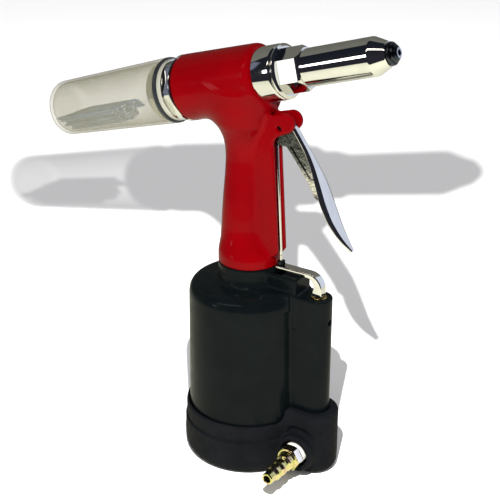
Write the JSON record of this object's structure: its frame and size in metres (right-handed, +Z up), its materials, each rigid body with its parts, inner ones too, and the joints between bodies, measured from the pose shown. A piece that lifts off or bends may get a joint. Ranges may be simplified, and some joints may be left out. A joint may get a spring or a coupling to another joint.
{
  "type": "pneumatic rivet gun",
  "caption": "Air-hydraulic blind rivet gun: pitched barrel with steel nose and mandrel bottle, pistol grip with trigger, and an upright air cylinder in a rubber base.",
  "frame": {"origin": "centre of the round base cover's flat underside, on the axis of the air cylinder", "axes": "+Z up along the air cylinder, +X to the nose side, +Y to the left of a person holding the gun; the air inlet points to -Y"},
  "size_m": [0.2414, 0.0934, 0.2818],
  "materials": {
    "red_paint": "glossy deep red enamel on a casting",
    "chrome": "bright chrome plate",
    "steel": "turned steel",
    "tool_steel": "hardened and ground steel",
    "black_oxide": "black oxide on steel, satin",
    "black_casting": "satin black coating on an aluminium casting",
    "black_rubber": "moulded matte black rubber",
    "seal_rubber": "smooth black nitrile",
    "clear_plastic": "milky translucent polyethylene",
    "brass": "turned brass",
    "zinc_yellow": "iridescent yellow zinc chromate on turned steel",
    "white_plastic": "matte off-white sealing ring",
    "aluminium": "turned aluminium",
    "mandrel_steel": "thin grey-blue steel wire"
  },
  "bodies": {
    "frame": {"front_bushing": "chrome", "frame_head": "chrome", "nosepiece": "black_oxide", "rod_seal": "seal_rubber", "return_spring": "steel", "rear_cap": "chrome", "rear_cap_seal": "seal_rubber", "mandrel_tube": "brass", "mandrel_tube_ferrule": "brass", "main_frame": "red_paint", "bleed_screw": "steel", "bleed_screw_washer": "brass", "trigger_pin": "steel", "valve_bushing": "brass", "valve_spring": "steel", "valve_plug": "brass", "air_cylinder": "black_casting", "ram_gland": "steel", "ram_packing": "seal_rubber", "piston_cushion": "seal_rubber", "cylinder_cap": "aluminium", "cylinder_cap_seal": "seal_rubber", "cap_retaining_ring": "steel", "base_cover": "black_rubber", "inlet_thread_ring": "white_plastic", "air_inlet_plug": "zinc_yellow"},
    "trigger": {"trigger": "chrome"},
    "valve_linkage": {"push_rod": "chrome", "push_rod_nut": "black_oxide", "push_rod_locknut": "black_oxide", "valve_lever": "chrome", "valve_stem": "steel", "valve_oring_lower": "seal_rubber", "valve_oring_upper": "seal_rubber"},
    "ram_assembly": {"ram": "steel", "air_piston": "aluminium", "air_piston_seal": "seal_rubber", "air_piston_nut": "steel"},
    "pulling_head": {"hydraulic_piston": "steel", "hydraulic_piston_seal": "seal_rubber", "jaw_case": "tool_steel", "jaw_case_locknut": "steel", "jaw_pusher_spring": "steel"},
    "jaw_pusher": {"jaw_pusher": "steel"},
    "jaw_1": {"jaw_1": "tool_steel"},
    "jaw_2": {"jaw_2": "tool_steel"},
    "jaw_3": {"jaw_3": "tool_steel"},
    "collector": {"mandrel_collector": "clear_plastic", "spent_mandrels": "mandrel_steel"}
  },
  "joints": [
    {"name": "trigger_squeeze", "type": "hinge", "parent": "frame", "child": "trigger", "pos_m": [0.0243, 0, 0.2227], "axis": [0, 1, 0], "range_deg": [0, 24], "stiffness_Nm_per_rad": 0.15, "springref_deg": -20.05},
    {"name": "valve_lift", "type": "slide", "parent": "frame", "child": "valve_linkage", "axis": [0, 0, 1], "range_m": [0, 0.0022], "deforming": ["valve_spring"]},
    {"name": "ram_stroke", "type": "slide", "parent": "frame", "child": "ram_assembly", "axis": [0, 0, 1], "range_m": [0, 0.075]},
    {"name": "pull_stroke", "type": "slide", "parent": "frame", "child": "pulling_head", "axis": [-0.9613, 0, -0.2756], "range_m": [0, 0.0142], "stiffness_N_per_m": 400, "springref_m": -0.006, "deforming": ["return_spring"]},
    {"name": "jaw_pusher_slide", "type": "slide", "parent": "pulling_head", "child": "jaw_pusher", "axis": [-0.9613, 0, -0.2756], "range_m": [0, 0.002], "stiffness_N_per_m": 200, "springref_m": -0.003, "deforming": ["jaw_pusher_spring"]},
    {"name": "jaw_1_slide", "type": "slide", "parent": "pulling_head", "child": "jaw_1", "axis": [-0.9046, 0, -0.4263], "range_m": [0, 0.0021]},
    {"name": "jaw_2_slide", "type": "slide", "parent": "pulling_head", "child": "jaw_2", "axis": [-0.9709, 0.1389, -0.195], "range_m": [0, 0.0021]},
    {"name": "jaw_3_slide", "type": "slide", "parent": "pulling_head", "child": "jaw_3", "axis": [-0.9709, -0.1389, -0.195], "range_m": [0, 0.0021]},
    {"name": "collector_pull", "type": "slide", "parent": "frame", "child": "collector", "axis": [-0.9613, 0, -0.2756], "range_m": [0, 0.04]}
  ],
  "couplings": [
    {"joint": "valve_lift", "follows": "trigger_squeeze", "m_per_rad": 0.0051},
    {"joint": "pull_stroke", "follows": "ram_stroke", "ratio": 0.1875},
    {"joint": "jaw_1_slide", "follows": "jaw_pusher_slide", "ratio": 1.0131},
    {"joint": "jaw_2_slide", "follows": "jaw_pusher_slide", "ratio": 1.0131},
    {"joint": "jaw_3_slide", "follows": "jaw_pusher_slide", "ratio": 1.0131}
  ]
}
